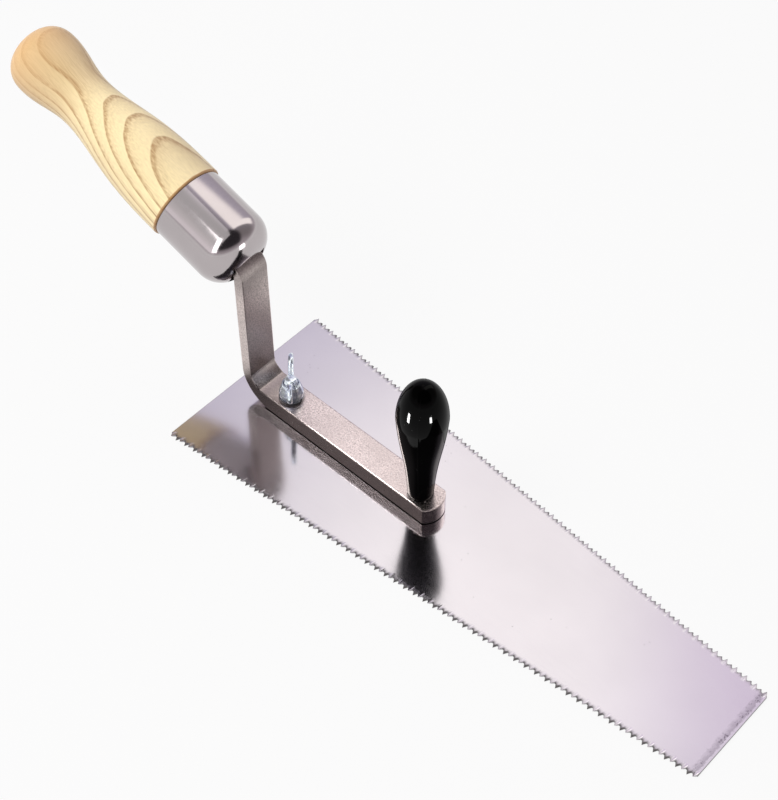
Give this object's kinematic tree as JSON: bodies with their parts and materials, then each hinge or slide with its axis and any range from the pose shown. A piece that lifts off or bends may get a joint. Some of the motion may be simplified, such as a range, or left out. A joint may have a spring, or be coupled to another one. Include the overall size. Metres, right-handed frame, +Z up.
{
  "type": "undercut saw",
  "caption": "Hand saw with a flat double-edged blade clamped under a cranked arm, a turned wooden grip in a domed metal ferrule and a black front knob, for trimming casings flush to a floor.",
  "frame": {"origin": "middle of the blade's underside, half way along its length on the centre line", "axes": "+X towards the blade's narrow front end, +Y to the left edge seen from the grip, +Z up from the blade"},
  "size_m": [0.3959, 0.095, 0.1376],
  "materials": {
    "blade_steel": "bright, finely brushed along its length",
    "zinc_plate": "bright bluish zinc plate",
    "arm_casting": "grainy satin skin of warm grey",
    "polished_ferrule": "polished bright",
    "ash_wood": "clear lacquer over pale open grain",
    "brass_insert": "machined",
    "black_phenolic": "high gloss",
    "spring_steel": "plain"
  },
  "bodies": {
    "saw": {"saw_blade": "blade_steel", "front_stud": "zinc_plate", "rear_stud": "zinc_plate", "arm": "arm_casting", "ferrule": "polished_ferrule", "grip": "ash_wood"},
    "wing_nut_carriage": {"lock_washer": "spring_steel"},
    "wing_nut": {"wing_nut": "zinc_plate"},
    "knob_carriage": {"knob_insert": "brass_insert"},
    "knob": {"knob": "black_phenolic"}
  },
  "joints": [
    {"name": "wing_nut_lift", "type": "slide", "parent": "saw", "child": "wing_nut_carriage", "axis": [0, 0, 1], "range_m": [0, 0.0102]},
    {"name": "wing_nut_spin", "type": "hinge", "parent": "wing_nut_carriage", "child": "wing_nut", "pos_m": [-0.1054, 0, 0.0124], "axis": [0, 0, 1], "range_deg": [0, 2880]},
    {"name": "knob_lift", "type": "slide", "parent": "saw", "child": "knob_carriage", "axis": [0, 0, 1], "range_m": [0, 0.014]},
    {"name": "knob_spin", "type": "hinge", "parent": "knob_carriage", "child": "knob", "pos_m": [-0.0281, 0, 0.0108], "axis": [0, 0, 1], "range_deg": [0, 3960]}
  ],
  "couplings": [
    {"joint": "wing_nut_lift", "follows": "wing_nut_spin", "m_per_rad": 0.00020213},
    {"joint": "knob_lift", "follows": "knob_spin", "m_per_rad": 0.00020213}
  ]
}
